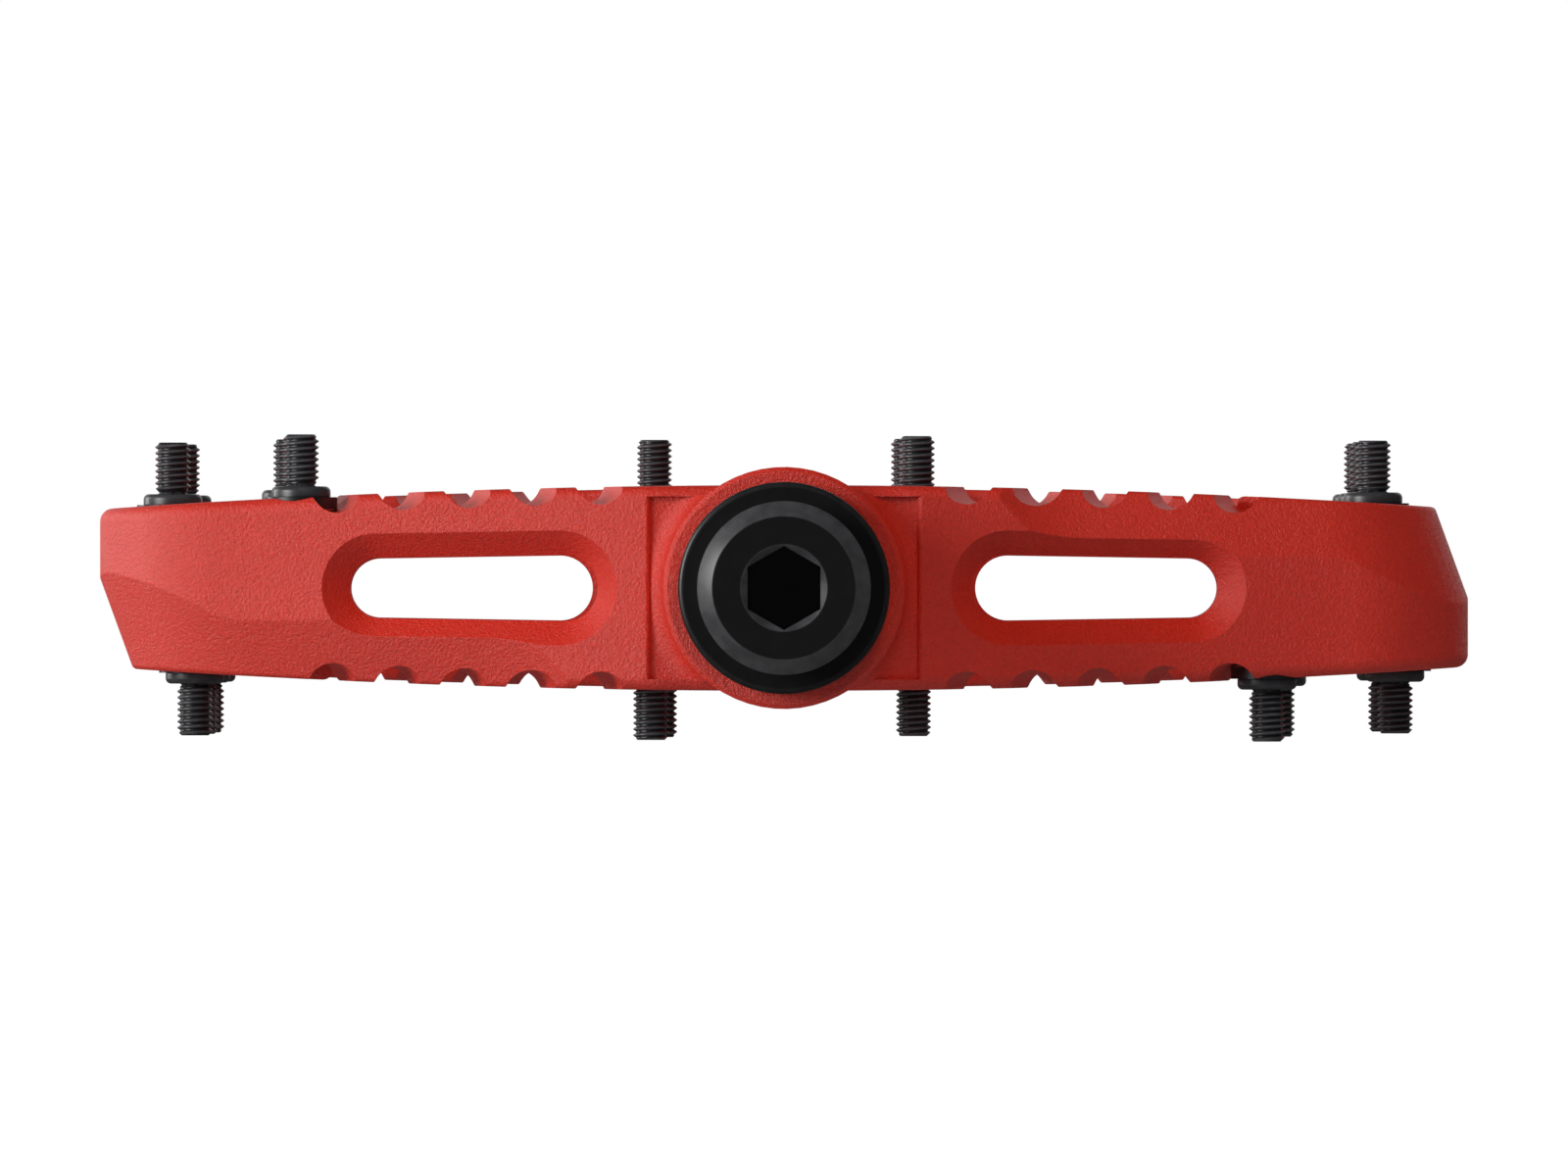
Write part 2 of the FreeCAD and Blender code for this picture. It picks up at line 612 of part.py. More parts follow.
def bearing_spacer():
    return ring(SPACER_R, SEAT_R, BEARING_STARTS[0] + BEARING_WIDTH, BEARING_STARTS[1])


def retaining_ring():
    """Open spring ring in the bore's groove."""
    start = BEARING_STARTS[-1] + BEARING_WIDTH
    whole = ring(RING_GROOVE_R, RING_INNER_R, start, start + RING_THICKNESS)
    gap = Part.makeBox(RING_GAP, 2 * RING_THICKNESS, 2 * RING_GROOVE_R, V(-RING_GAP / 2, start - 0.5, 0))
    return whole.cut(gap)


def axle_washer():
    start = BEARING_STARTS[-1] + BEARING_WIDTH
    return ring(NUT_WASHER_R, NUT_THREAD_R, start, start + NUT_WASHER_THICKNESS)


def axle_nut():
    start = BEARING_STARTS[-1] + BEARING_WIDTH + NUT_WASHER_THICKNESS
    blank = hex_prism(NUT_AF, V(0, start, 0), Y_AXIS, NUT_THICKNESS)
    corner_r = NUT_AF / sqrt(3)
    bevel = 0.4
    turned = revolved([(0, start), (corner_r, start), (corner_r, start + NUT_THICKNESS - bevel),
                       (corner_r - 2 * bevel, start + NUT_THICKNESS), (0, start + NUT_THICKNESS)])
    thread = Part.makeCylinder(NUT_THREAD_R, 3 * NUT_THICKNESS, V(0, start - NUT_THICKNESS, 0), Y_AXIS)
    return blank.common(turned).cut(thread)


def end_cap():
    """Plug with a dished face, two spanner holes and a groove for its O-ring."""
    face_y = OUTBOARD_Y - 0.2
    flange_y = OUTBOARD_Y - CAP_SEAT_DEPTH
    groove = (O_RING_Y - O_RING_GROOVE_WIDTH / 2, O_RING_Y + O_RING_GROOVE_WIDTH / 2)
    bevel = 0.3
    plug = revolved([
        (0, CAP_PLUG_START_Y), (CAP_PLUG_R - bevel, CAP_PLUG_START_Y), (CAP_PLUG_R, CAP_PLUG_START_Y + bevel),
        (CAP_PLUG_R, groove[0]), (O_RING_GROOVE_R, groove[0]), (O_RING_GROOVE_R, groove[1]),
        (CAP_PLUG_R, groove[1]), (CAP_PLUG_R, flange_y), (CAP_FLANGE_R, flange_y),
        (CAP_FLANGE_R, face_y - bevel), (CAP_FLANGE_R - bevel, face_y), (CAP_DISH_R, face_y),
        (CAP_DISH_R - CAP_DISH_DEPTH, face_y - CAP_DISH_DEPTH), (0, face_y - CAP_DISH_DEPTH)])
    holes = []
    for side in (-1, 1):
        base = V(side * CAP_HOLE_PITCH_R, face_y - CAP_HOLE_DEPTH - CAP_DISH_DEPTH, 0)
        holes.append(Part.makeCylinder(CAP_HOLE_R, 2 * CAP_HOLE_DEPTH, base, Y_AXIS))
    return plug.cut(holes)


def end_cap_o_ring():
    return Part.makeTorus(CAP_BORE_R - O_RING_R - 0.03, O_RING_R, V(0, O_RING_Y, 0), Y_AXIS)


# ---------------------------------------------------------------- cartridge bearings
def race_groove(middle_y):
    return Part.makeTorus(BALL_PITCH_R, GROOVE_R, V(0, middle_y, 0), Y_AXIS)


def outer_race(start):
    body = ring(BEARING_R, OUTER_LAND_R, start, start + BEARING_WIDTH)
    return body.cut(race_groove(start + BEARING_WIDTH / 2))


def inner_race(start):
    body = ring(INNER_LAND_R, SEAT_R, start, start + BEARING_WIDTH)
    return body.cut(race_groove(start + BEARING_WIDTH / 2))


def ball_places(start):
    """Centres of the balls of the bearing that starts at this y."""
    middle_y = start + BEARING_WIDTH / 2
    turns = [2 * pi * (i + 0.5) / BALL_COUNT for i in range(BALL_COUNT)]
    return [V(BALL_PITCH_R * cos(turn), middle_y, BALL_PITCH_R * sin(turn)) for turn in turns]


def balls(start):
    return Part.makeCompound([Part.makeSphere(BALL_R, centre) for centre in ball_places(start)])


def cage(start):
    """Ring with a round pocket for each ball."""
    middle_y = start + BEARING_WIDTH / 2
    body = ring(CAGE_R[1], CAGE_R[0], middle_y - CAGE_WIDTH / 2, middle_y + CAGE_WIDTH / 2)
    pockets = []
    for centre in ball_places(start):
        outwards = V(centre.x, 0, centre.z).normalize()
        pockets.append(Part.makeCylinder(CAGE_POCKET_R, 2 * BALL_R, centre - outwards * BALL_R, outwards))
    return body.cut(pockets)


def shields(start):
    """The two thin covers inside the ends of the outer race."""
    outer_r = OUTER_LAND_R
    inner_r = INNER_LAND_R + 0.05
    first = start + SHIELD_INSET
    second = start + BEARING_WIDTH - SHIELD_INSET - SHIELD_THICKNESS
    return Part.makeCompound([ring(outer_r, inner_r, y, y + SHIELD_THICKNESS) for y in (first, second)])


# ---------------------------------------------------------------- all the nodes
def both_faces(name, make, places):
    """A node of equal pieces for the top face and one for the bottom face."""
    top = Part.makeCompound([make(x, y) for x, y in places])
    return {name + "_top": top, name + "_bottom": half_turn(top)}


def all_nodes():
    nodes = {
        "pedal_body": pedal_body(),
        "spindle": spindle(),
        "inboard_seal": inboard_seal(),
        "plain_bushing": plain_bushing(),
        "bearing_spacer": bearing_spacer(),
        "retaining_ring": retaining_ring(),
        "axle_washer": axle_washer(),
        "axle_nut": axle_nut(),
        "end_cap": end_cap(),
        "end_cap_o_ring": end_cap_o_ring(),
    }
    nodes.update(both_faces("flanged_pins", flanged_pin, FLANGED_PINS))
    nodes.update(both_faces("pin_washers", pin_washer, FLANGED_PINS))
    nodes.update(both_faces("axle_pins", axle_pin, AXLE_PINS))
    for number, start in enumerate(BEARING_STARTS, 1):
        label = "bearing_%d_" % number
        nodes[label + "outer_race"] = outer_race(start)
        nodes[label + "inner_race"] = inner_race(start)
        nodes[label + "balls"] = balls(start)
        nodes[label + "cage"] = cage(start)
        nodes[label + "shields"] = shields(start)
    return nodes


os.makedirs("parts", exist_ok=True)
for name, shape in all_nodes().items():
    shape.exportStep("parts/%s.step" % name)
    summary = (name, len(shape.Solids), shape.isValid(), shape.Volume)
    print("%-24s solids %2d  valid %s  volume %.1f" % summary)
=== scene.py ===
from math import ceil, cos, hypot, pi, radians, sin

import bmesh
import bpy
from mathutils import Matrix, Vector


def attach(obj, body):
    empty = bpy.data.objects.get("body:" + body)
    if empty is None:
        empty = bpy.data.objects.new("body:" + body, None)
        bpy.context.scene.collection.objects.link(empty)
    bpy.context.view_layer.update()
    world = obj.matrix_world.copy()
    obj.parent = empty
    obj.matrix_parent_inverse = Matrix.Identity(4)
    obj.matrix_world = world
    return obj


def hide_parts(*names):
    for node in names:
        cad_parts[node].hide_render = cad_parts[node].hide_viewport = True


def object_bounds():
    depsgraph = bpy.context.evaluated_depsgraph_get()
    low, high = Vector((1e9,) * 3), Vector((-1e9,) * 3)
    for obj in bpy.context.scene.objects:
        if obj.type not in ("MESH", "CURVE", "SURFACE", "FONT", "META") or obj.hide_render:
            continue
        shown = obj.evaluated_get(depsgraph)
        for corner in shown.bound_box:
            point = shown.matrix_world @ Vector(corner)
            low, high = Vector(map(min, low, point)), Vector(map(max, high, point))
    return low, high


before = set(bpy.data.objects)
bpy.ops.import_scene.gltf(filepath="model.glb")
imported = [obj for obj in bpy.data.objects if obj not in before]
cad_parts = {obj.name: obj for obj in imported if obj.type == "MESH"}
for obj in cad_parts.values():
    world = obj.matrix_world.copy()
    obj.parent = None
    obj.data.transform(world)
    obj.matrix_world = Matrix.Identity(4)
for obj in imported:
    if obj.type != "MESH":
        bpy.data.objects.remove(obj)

# Flat bicycle pedal: machined red platform on a black steel spindle, with threaded traction pins.
# The platform, bearings and seals are the CAD nodes with procedural materials. The spindle and the
# pins are rebuilt here with their real screw threads, and replace their CAD nodes.
# Local shapes are in millimetres and are scaled to metres when they are placed.

MM = 0.001
CAD_LOW, CAD_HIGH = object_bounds()

# ------------------------------------------------------------------ dimensions, most of them from the CAD
COLLAR_R = 2.45
COLLAR_HEIGHT = 0.9
COLLAR_EDGE = 0.45
STUD_ABOVE = 4.3
PIN_R = 1.475
PIN_PITCH = 0.5
PIN_ROOT_R = 1.23
PIN_TIP = 0.35
PIN_SOCKET_AF = 1.5
PIN_SOCKET_DEPTH = 1.6
PIN_SEGMENTS = 48
AXLE_PIN_FIRST = 3                 # the set screws' first number in pin_phase
SORT_DIGITS = 5                    # metres, so places are compared to 0.01 mm

THREAD_R = 7.14
THREAD_PITCH = 1.27
THREAD_ROOT_R = 6.36
THREAD_START_Y = -13.0
THREAD_TIP_R = 6.0
THREAD_CHAMFER = 1.1
THREAD_PHASE = -0.55               # share of a pitch
RELIEF_R = 6.3
RELIEF_START_Y = -1.1
FLANGE_R = 8.75
FLANGE_EDGE = 0.4
FLANGE_THICKNESS = 3.2
JOURNAL_R = 6.0
JOURNAL_END_Y = 35.0
TAPER_END_Y = 62.0
SHOULDER_R = 5.0
SEAT_R = 4.0
SEAT_START_Y = 72.0
SEAT_END_Y = 88.5
NUT_THREAD_R = 3.5
NUT_THREAD_ROOT_R = 2.9
NUT_THREAD_PITCH = 1.0
SPINDLE_END_Y = 96.0
HEX_AF = 6.0
HEX_BOTTOM_Y = -6.0
HEX_MOUTH_R = 3.55
SPINDLE_SEGMENTS = 144

# One pitch of a screw thread: share of the pitch, and share of the depth cut away there.
THREAD_FORM = ((0.00, 0.00), (0.13, 0.00), (0.20, 0.12), (0.42, 0.88),
               (0.49, 1.00), (0.64, 1.00), (0.71, 0.88), (0.93, 0.12))
CREST_DEPTH = 0.2                  # parts of the form shallower than this get the paler crest colour: wear and a painted highlight

# How far an edge is painted towards the paler colour, as rubbed wear and as a painted highlight: 0 is
# untouched.
CREST_WEAR_AND_HIGHLIGHT = 1.0
CHAMFER_WEAR_AND_HIGHLIGHT = 0.9
LIP_WEAR_AND_HIGHLIGHT = 0.7
END_WEAR_AND_HIGHLIGHT = 0.6
EDGE_WEAR_AND_HIGHLIGHT = 0.5
MOUTH_WEAR_AND_HIGHLIGHT = 0.3
FOOT_WEAR_AND_HIGHLIGHT = 0.2
FLANGE_WEAR_AND_HIGHLIGHT = 0.15

WELD = 2e-6                        # metres
SHARP_ANGLE = radians(38)


# ------------------------------------------------------------------ turned and threaded surfaces
def along_z(centre, upwards):
    """Placing function for a shape whose axis stands on the centre and points up or down."""
    side = 1 if upwards else -1

    def place(a, b, height):
        return centre + Vector((side * a, b, side * height)) * MM
    return place


def along_y(a, b, height):
    """Placing function for a shape on the spindle axis; angle 0 is towards +Z."""
    return Vector((b, height, a)) * MM


def hexagon(across_flats):
    """Radius of a hexagon as a function of the angle, with a corner at angle 0."""
    def radius(turn):
        return across_flats / 2 / cos(turn % (pi / 3) - pi / 6)
    return radius


def value_at(quantity, turn):
    return quantity(turn) if callable(quantity) else quantity


class Shell:
    """Rings of points round an axis, the faces between them, and where the finish is paler: worn, and with
    a painted highlight.
    """

    def __init__(self, segments, place):
        self.segments = segments
        self.place = place
        self.points = []
        self.faces = []
        self.wear_and_highlight = []

    def ring(self, radius, height, wear_and_highlight=0.0):
        """Adds a ring and returns the index of its first point."""
        first = len(self.points)
        for i in range(self.segments):
            turn = 2 * pi * i / self.segments
            r = value_at(radius, turn)
            self.points.append(self.place(r * cos(turn), r * sin(turn), value_at(height, turn)))
            self.wear_and_highlight.append(wear_and_highlight)
        return first

    def bridge(self, low, high):
        count = self.segments
        for i in range(count):
            j = (i + 1) % count
            self.faces.append((low + i, low + j, high + j, high + i))

    def turned(self, profile):
        """Surface of revolution through (radius, height) points, or with a third value: how much paler the
        finish is there, as wear and as a painted highlight.
        """
        rings = [self.ring(*point) for point in profile]
        for low, high in zip(rings, rings[1:]):
            self.bridge(low, high)
        return rings[0], rings[-1]

    def tip(self, ring, height):
        """Closes a ring with a fan to a point on the axis."""
        centre = len(self.points)
        self.points.append(self.place(0, 0, height))
        self.wear_and_highlight.append(0.0)
        for i in range(self.segments):
            self.faces.append((ring + i, ring + (i + 1) % self.segments, centre))

    def thread(self, low, high, pitch, crest_r, root_r, phase, limit):
        """Right-handed screw thread; limit(height) is the largest radius there."""
        form_rows = len(THREAD_FORM)
        spare_turns = 3
        rows = []
        for k in range(ceil((high - low) / pitch) + spare_turns):
            for share, depth in THREAD_FORM:
                start = low + pitch * (k + share + phase - 1)
                rows.append(self.thread_row(start, low, high, pitch, crest_r, root_r, depth, limit))
        last = self.segments - 1
        for n in range(len(rows) - 1):
            a, b = rows[n], rows[n + 1]
            for i in range(last):
                self.faces.append((a + i, a + i + 1, b + i + 1, b + i))
            if n + 1 + form_rows < len(rows):
                ahead_a, ahead_b = rows[n + form_rows], rows[n + 1 + form_rows]
                self.faces.append((a + last, ahead_a, ahead_b, b + last))

    def thread_row(self, start, low, high, pitch, crest_r, root_r, depth, limit):
        """One line of the thread: a helix that stays between the two ends."""
        def height(turn):
            return min(high, max(low, start + pitch * turn / (2 * pi)))

        def radius(turn):
            return min(crest_r - depth * (crest_r - root_r), limit(height(turn)))
        # Crest rows are painted paler, as wear and as a painted highlight.
        return self.ring(radius, height, CREST_WEAR_AND_HIGHLIGHT if depth < CREST_DEPTH else 0.0)


def solid_object(name, shells):
    """One mesh object from the shells, welded, with smooth faces and crisp edges."""
    points, faces, wear_and_highlight = [], [], []
    for shell in shells:
        offset = len(points)
        points += shell.points
        wear_and_highlight += shell.wear_and_highlight
        faces += [tuple(index + offset for index in face) for face in shell.faces]
    mesh = bpy.data.meshes.new(name)
    mesh.from_pydata(points, [], faces)
    # Share of the paler colour at each point: wear on crests and edges, and a painted highlight there.
    paler_wear_and_highlight = mesh.attributes.new("wear_and_highlight", "FLOAT", "POINT")
    paler_wear_and_highlight.data.foreach_set("value", wear_and_highlight)
    work = bmesh.new()
    work.from_mesh(mesh)
    bmesh.ops.remove_doubles(work, verts=work.verts, dist=WELD)
    bmesh.ops.dissolve_degenerate(work, edges=work.edges, dist=WELD)
    bmesh.ops.recalc_face_normals(work, faces=work.faces)
    work.to_mesh(mesh)
    work.free()
    mesh.shade_smooth()
    mesh.set_sharp_from_angle(angle=SHARP_ANGLE)
    piece = bpy.data.objects.new(name, mesh)
    bpy.context.scene.collection.objects.link(piece)
    return piece


def arc_points(centre_r, centre_h, radius, start, end, steps, wear_and_highlight=0.0):
    """Points of an arc in a profile; angle 0 points outwards and 90 degrees along the axis."""
    points = []
    for i in range(steps + 1):
        angle = radians(start + (end - start) * i / steps)
        points.append((centre_r + radius * cos(angle), centre_h + radius * sin(angle), wear_and_highlight))
    return points


# ------------------------------------------------------------------ spindle
def spindle_shell():
    shell = Shell(SPINDLE_SEGMENTS, along_y)
    corner = hexagon(HEX_AF)
    drill_r = 2.7
    drill_point = 1.3
    edge = 0.08
    land = 0.1
    chamfer_end = THREAD_START_Y + THREAD_CHAMFER
    thread_start = chamfer_end + land

    def mouth_y(turn):
        return THREAD_START_Y + HEX_MOUTH_R - corner(turn)

    # Chamfers, lips and edges of the turned profile are painted paler, as wear and as a painted highlight.
    bottom, _ = shell.turned([
        (drill_r, HEX_BOTTOM_Y), (corner, HEX_BOTTOM_Y),
        (corner, lambda turn: mouth_y(turn) + edge), (corner, mouth_y, CHAMFER_WEAR_AND_HIGHLIGHT),
        (HEX_MOUTH_R, THREAD_START_Y, CHAMFER_WEAR_AND_HIGHLIGHT), (HEX_MOUTH_R + edge, THREAD_START_Y),
        (THREAD_TIP_R - 2 * edge, THREAD_START_Y), (THREAD_TIP_R - edge, THREAD_START_Y, LIP_WEAR_AND_HIGHLIGHT),
        (THREAD_TIP_R, THREAD_START_Y + edge / 2, CHAMFER_WEAR_AND_HIGHLIGHT),
        (THREAD_R - edge, chamfer_end - edge, CHAMFER_WEAR_AND_HIGHLIGHT),
        (THREAD_R, chamfer_end, CHAMFER_WEAR_AND_HIGHLIGHT), (THREAD_R, thread_start, END_WEAR_AND_HIGHLIGHT),
        (THREAD_ROOT_R, thread_start)])
    shell.tip(bottom, HEX_BOTTOM_Y + drill_point)

    lead_in = 6.0
    runout = 0.9

    def end_limit(y):
        opening = THREAD_ROOT_R + (y - thread_start) * lead_in
        closing = RELIEF_R + (RELIEF_START_Y - y) * (THREAD_R - RELIEF_R) / runout
        return min(opening, closing)

    shell.thread(thread_start, RELIEF_START_Y, THREAD_PITCH, THREAD_R, THREAD_ROOT_R,
                 THREAD_PHASE, end_limit)
    relief_round = 0.25
    flange_round = 0.25
    face_margin = 0.1
    shoulder_bevel = 0.2
    # The flange's edges are painted paler, as wear and as a painted highlight.
    shell.turned([(RELIEF_R, RELIEF_START_Y), (RELIEF_R, -relief_round)]
                 + arc_points(RELIEF_R + relief_round, -relief_round, relief_round, 180, 90, 4)
                 + [(FLANGE_R - FLANGE_EDGE - face_margin, 0.0)]
                 + arc_points(FLANGE_R - FLANGE_EDGE, FLANGE_EDGE, FLANGE_EDGE, -90, 0, 6, FLANGE_WEAR_AND_HIGHLIGHT)
                 + arc_points(FLANGE_R - flange_round, FLANGE_THICKNESS - flange_round, flange_round,
                              0, 90, 4, EDGE_WEAR_AND_HIGHLIGHT)
                 + [(JOURNAL_R, FLANGE_THICKNESS), (JOURNAL_R, JOURNAL_END_Y),
                    (SHOULDER_R, TAPER_END_Y), (SHOULDER_R, SEAT_START_Y - shoulder_bevel),
                    (SHOULDER_R - shoulder_bevel, SEAT_START_Y, EDGE_WEAR_AND_HIGHLIGHT),
                    (SEAT_R, SEAT_START_Y), (SEAT_R, SEAT_END_Y),
                    (NUT_THREAD_ROOT_R, SEAT_END_Y)])

    def nut_limit(y):
        return NUT_THREAD_ROOT_R + min(y - SEAT_END_Y, SPINDLE_END_Y - y)

    root_gap = 0.02
    phase = 0.0
    shell.thread(SEAT_END_Y, SPINDLE_END_Y, NUT_THREAD_PITCH, NUT_THREAD_R,
                 NUT_THREAD_ROOT_R + root_gap, phase, nut_limit)
    end_ring = shell.ring(NUT_THREAD_ROOT_R, SPINDLE_END_Y)
    shell.tip(end_ring, SPINDLE_END_Y)
    return shell


# ------------------------------------------------------------------ traction pins
def solids_of(node_name):
    """Low and high corners of each separate solid of a CAD node, in a fixed order."""
    work = bmesh.new()
    work.from_mesh(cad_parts[node_name].data)
    bmesh.ops.remove_doubles(work, verts=work.verts, dist=WELD)
    waiting = set(work.verts)
    boxes = []
    for seed in list(work.verts):
        if seed not in waiting:
            continue
        waiting.remove(seed)
        stack = [seed]
        found = []
        while stack:
            vertex = stack.pop()
            found.append(vertex.co.copy())
            for edge in vertex.link_edges:
                other = edge.other_vert(vertex)
                if other in waiting:
                    waiting.remove(other)
                    stack.append(other)
        low = Vector([min(point[axis] for point in found) for axis in range(3)])
        high = Vector([max(point[axis] for point in found) for axis in range(3)])
        boxes.append((low, high))
    work.free()
    return sorted(boxes, key=lambda box: (round(box[0].x, SORT_DIGITS), round(box[0].y, SORT_DIGITS)))


def stud_limit(low, high, low_r, high_r):
    """Largest radius along a stud that tapers at 45 degrees to the given radius at both ends."""
    def limit(height):
        return min(low_r + (height - low), high_r + (high - height))
    return limit


def socket(shell, ring_r, height, direction):
    """Flat end with a hexagon socket; direction is -1 where the socket goes down the axis."""
    corner = hexagon(PIN_SOCKET_AF)
    mouth = 0.06
    drill_r = 0.5
    drill_point = 0.25
    floor_height = height + direction * PIN_SOCKET_DEPTH
    # The socket's rim is painted paler, as wear and as a painted highlight.
    _, bottom = shell.turned([
        (ring_r, height, END_WEAR_AND_HIGHLIGHT), (lambda turn: corner(turn) + mouth, height, MOUTH_WEAR_AND_HIGHLIGHT),
        (corner, height + direction * mouth), (corner, floor_height), (drill_r, floor_height)])
    shell.tip(bottom, floor_height + direction * drill_point)


def flanged_pin_shell(centre, upwards, below, phase):
    """Stud with a round collar; height 0 is the platform's surface."""
    shell = Shell(PIN_SEGMENTS, along_z(centre, upwards))
    top = COLLAR_HEIGHT + STUD_ABOVE
    tip_r = PIN_R - PIN_TIP
    bottom_ring = shell.ring(tip_r, below)
    shell.tip(bottom_ring, below)
    shell.thread(below, 0.0, PIN_PITCH, PIN_R, PIN_ROOT_R, phase, stud_limit(below, 0.0, tip_r, tip_r))
    seat_lift = 0.05
    neck = 0.12
    # The collar's foot and rounded edge are painted paler, as wear and as a painted highlight.
    shell.turned([(tip_r, 0.0), (COLLAR_R - seat_lift, 0.0, FOOT_WEAR_AND_HIGHLIGHT), (COLLAR_R, seat_lift, FOOT_WEAR_AND_HIGHLIGHT)]
                 + arc_points(COLLAR_R - COLLAR_EDGE, COLLAR_HEIGHT - COLLAR_EDGE, COLLAR_EDGE,
                              0, 90, 7, EDGE_WEAR_AND_HIGHLIGHT)
                 + [(tip_r + neck, COLLAR_HEIGHT), (tip_r, COLLAR_HEIGHT + neck)])
    shell.thread(COLLAR_HEIGHT + neck, top, PIN_PITCH, PIN_R, PIN_ROOT_R, phase,
                 stud_limit(COLLAR_HEIGHT + neck, top, tip_r, tip_r))
    socket(shell, tip_r, top, -1)
    return shell


def axle_pin_shell(centre, upwards, length, phase):
    """Long set screw; height 0 is its lower end, where its socket is."""
    shell = Shell(PIN_SEGMENTS, along_z(centre, upwards))
    tip_r = PIN_R - PIN_TIP
    shell.thread(0.0, length, PIN_PITCH, PIN_R, PIN_ROOT_R, phase, stud_limit(0.0, length, tip_r, tip_r))
    # The screw's end is painted paler, as wear and as a painted highlight.
    end_ring = shell.ring(tip_r, length, END_WEAR_AND_HIGHLIGHT)
    dimple = 0.12
    inner = shell.ring(tip_r - 3 * dimple, length - dimple)
    shell.bridge(end_ring, inner)
    shell.tip(inner, length - dimple)
    socket(shell, tip_r, 0.0, 1)
    return shell


def pin_phase(index):
    """Each pin stops at its own turn of the thread."""
    golden = 0.618034
    return -(index * golden % 1.0)


def flanged_pins(face):
    upwards = face == "top"
    shells = []
    for index, (low, high) in enumerate(solids_of("flanged_pins_" + face)):
        length = (high.z - low.z) / MM
        above = COLLAR_HEIGHT + STUD_ABOVE
        surface_z = high.z - above * MM if upwards else low.z + above * MM
        centre = Vector(((low.x + high.x) / 2, (low.y + high.y) / 2, surface_z))
        shells.append(flanged_pin_shell(centre, upwards, above - length, pin_phase(index)))
    return solid_object("flanged_pins_%s_threaded" % face, shells)


def axle_pins(face):
    upwards = face == "top"
    shells = []
    for index, (low, high) in enumerate(solids_of("axle_pins_" + face), AXLE_PIN_FIRST):
        length = (high.z - low.z) / MM
        base_z = low.z if upwards else high.z
        centre = Vector(((low.x + high.x) / 2, (low.y + high.y) / 2, base_z))
        shells.append(axle_pin_shell(centre, upwards, length, pin_phase(index)))
    return solid_object("axle_pins_%s_threaded" % face, shells)


# ------------------------------------------------------------------ materials
# Most values of a noise texture lie in these ranges. The second leaves more of its low end plain.
NOISE_RANGE = (0.3, 0.7)
PATCH_RANGE = (0.35, 0.7)
MIX_FACTOR, MIX_FIRST, MIX_SECOND, MIX_RESULT = 0, 6, 7, 2      # sockets of a colour mix node


class Finish:
    """A procedural material round one Principled shader."""

    def __init__(self, name, **constants):
        self.material = bpy.data.materials.new(name)
        self.material.use_nodes = True
        self.tree = self.material.node_tree
        self.shader = self.tree.nodes["Principled BSDF"]
        for socket_name, value in constants.items():
            self.shader.inputs[socket_name.replace("_", " ")].default_value = value
        self.place = self.tree.nodes.new("ShaderNodeTexCoord").outputs["Object"]

    def node(self, kind, inputs=(), **settings):
        made = self.tree.nodes.new(kind)
        for key, value in settings.items():
            setattr(made, key, value)
        for key, value in dict(inputs).items():
            if isinstance(value, bpy.types.NodeSocket):
                self.tree.links.new(value, made.inputs[key])
            else:
                made.inputs[key].default_value = value
        return made

    def grain(self, size_mm, detail=2.0, roughness=0.5, stretch=None):
        """Noise whose grains are about this size."""
        vector = self.place
        if stretch is not None:
            vector = self.node("ShaderNodeMapping", {"Vector": vector, "Scale": stretch}).outputs["Vector"]
        return self.node("ShaderNodeTexNoise", {"Vector": vector, "Scale": 1 / (size_mm * MM),
                                                "Detail": detail, "Roughness": roughness}).outputs["Fac"]

    def turning(self, size_mm):
        """Fine rings round the spindle axis, as a lathe leaves them."""
        parts = self.node("ShaderNodeSeparateXYZ", {"Vector": self.place})
        across = self.node("ShaderNodeCombineXYZ", {"X": parts.outputs["X"], "Z": parts.outputs["Z"]})
        radius = self.node("ShaderNodeVectorMath", {0: across.outputs["Vector"]}, operation="LENGTH")
        along = self.math("ADD", radius.outputs["Value"], parts.outputs["Y"])
        return self.node("ShaderNodeTexNoise", {"W": along, "Scale": 1 / (size_mm * MM), "Detail": 3.0},
                         noise_dimensions="1D").outputs["Fac"]

    def math(self, operation, first, second):
        return self.node("ShaderNodeMath", {0: first, 1: second}, operation=operation).outputs["Value"]

    def span(self, value, low, high, from_low=0.0, from_high=1.0):
        """The value mapped from one range to another, and held inside it."""
        return self.node("ShaderNodeMapRange", {"Value": value, "From Min": from_low, "From Max": from_high,
                                                "To Min": low, "To Max": high}).outputs["Result"]

    def blend(self, factor, first, second):
        inputs = {MIX_FACTOR: factor, MIX_FIRST: first, MIX_SECOND: second}
        return self.node("ShaderNodeMix", inputs, data_type="RGBA").outputs[MIX_RESULT]

    def attribute(self, name):
        return self.node("ShaderNodeAttribute", attribute_name=name).outputs["Fac"]

    def soft_edges(self, radius_mm):
        return self.node("ShaderNodeBevel", {"Radius": radius_mm * MM}, samples=6).outputs["Normal"]

    def relief(self, height, depth_mm, strength, normal=None):
        inputs = {"Height": height, "Distance": depth_mm * MM, "Strength": strength}
        if normal is not None:
            inputs["Normal"] = normal
        return self.node("ShaderNodeBump", inputs).outputs["Normal"]

    def set(self, socket_name, value):
        self.tree.links.new(value, self.shader.inputs[socket_name])


def rgb(red, green, blue):
    return (red, green, blue, 1.0)


